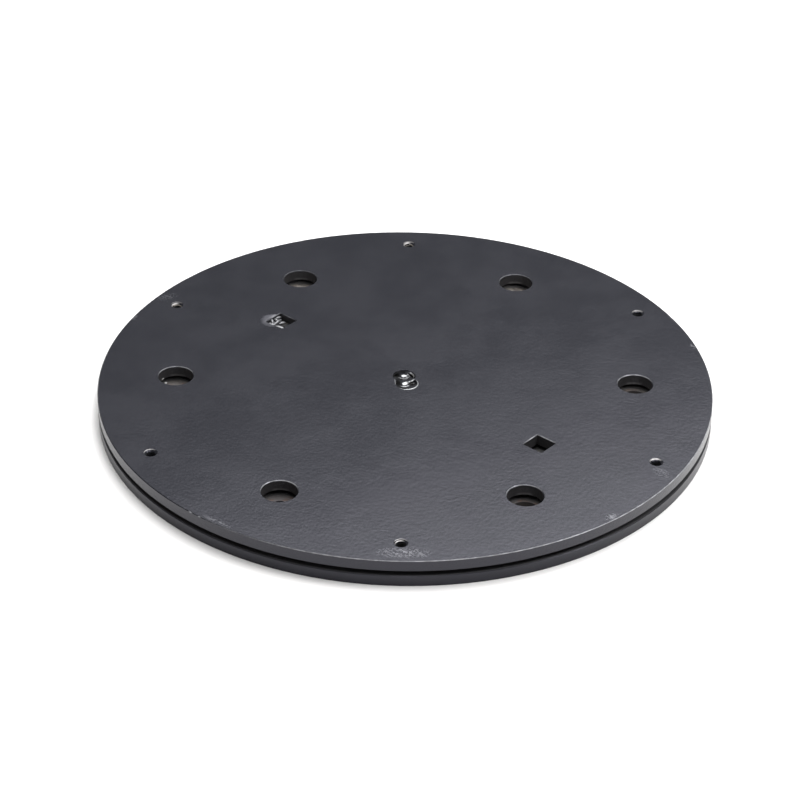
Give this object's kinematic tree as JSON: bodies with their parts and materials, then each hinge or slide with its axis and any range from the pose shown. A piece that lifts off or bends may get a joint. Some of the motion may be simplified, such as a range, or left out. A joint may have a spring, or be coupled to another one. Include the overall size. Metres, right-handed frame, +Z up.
{
  "type": "turntable base",
  "caption": "Low round swivel base: two black steel discs on a caged roller ring and a pivot pin, with tapped holes for a load above and access holes to floor screws below.",
  "frame": {"origin": "centre of the lower disc's underside, on the floor", "axes": "+Z up along the swivel axis, +X through one access hole and the fixing hole under it"},
  "size_m": [0.4399, 0.44, 0.02],
  "materials": {
    "black_paint": "satin black coating with fine orange peel, bare on the inner faces",
    "painted_weld": "gloss black over a rough weld bead",
    "bare_steel": "bare oiled steel",
    "spring_steel": "blackened spring steel",
    "bronze": "oil-filled sintered bronze",
    "cage_nylon": "black moulded nylon"
  },
  "bodies": {
    "base": {"base_plate": "black_paint", "pivot_bush": "bronze", "stop_pin": "bare_steel"},
    "cage": {"cage_arc_1": "cage_nylon", "cage_arc_2": "cage_nylon", "cage_arc_3": "cage_nylon", "thrust_roller_01": "bare_steel", "thrust_roller_02": "bare_steel", "thrust_roller_03": "bare_steel", "thrust_roller_04": "bare_steel", "thrust_roller_05": "bare_steel", "thrust_roller_06": "bare_steel", "thrust_roller_07": "bare_steel", "thrust_roller_08": "bare_steel", "thrust_roller_09": "bare_steel"},
    "top": {"top_plate": "black_paint", "pivot_pin": "bare_steel", "pivot_weld": "painted_weld", "retaining_ring": "spring_steel", "stop_lug": "bare_steel", "stop_weld": "painted_weld"}
  },
  "joints": [
    {"name": "top_swivel", "type": "hinge", "parent": "base", "child": "top", "pos_m": [0, 0, 0.012], "axis": [0, 0, 1], "range_deg": [-173, 173]},
    {"name": "cage_orbit", "type": "hinge", "parent": "base", "child": "cage", "pos_m": [0, 0, 0.01], "axis": [0, 0, 1], "range_deg": [-86.5, 86.5]}
  ],
  "couplings": [
    {"joint": "cage_orbit", "follows": "top_swivel", "ratio": 0.5}
  ]
}
